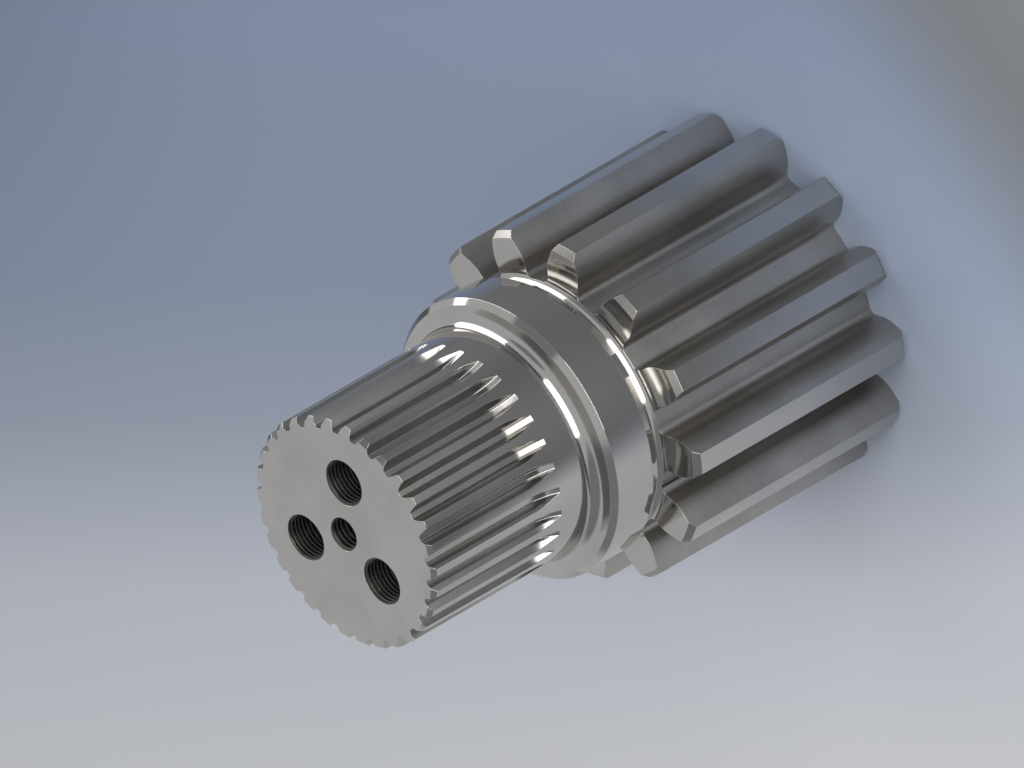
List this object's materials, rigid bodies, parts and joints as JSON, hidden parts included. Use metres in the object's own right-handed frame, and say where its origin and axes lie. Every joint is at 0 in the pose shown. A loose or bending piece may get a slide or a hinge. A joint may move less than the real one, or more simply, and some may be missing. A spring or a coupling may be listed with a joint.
{
  "type": "pinion gear",
  "caption": "Solid steel pinion shaft: straight spur teeth at one end, a bearing seat with a circlip groove, and a splined end with tapped holes.",
  "frame": {"origin": "centre of the gear's flat back face, on the axis of the shaft", "axes": "+Z along the shaft from the gear's back face towards the splined end; +X through a gear tooth, a spline tooth and one of the three tapped holes"},
  "size_m": [0.1158, 0.1166, 0.1843],
  "materials": {
    "steel": "bare alloy steel, turned faces, hobbed and ground teeth, thin oil film"
  },
  "bodies": {
    "root": {"pinion_shaft": "steel"}
  },
  "joints": []
}
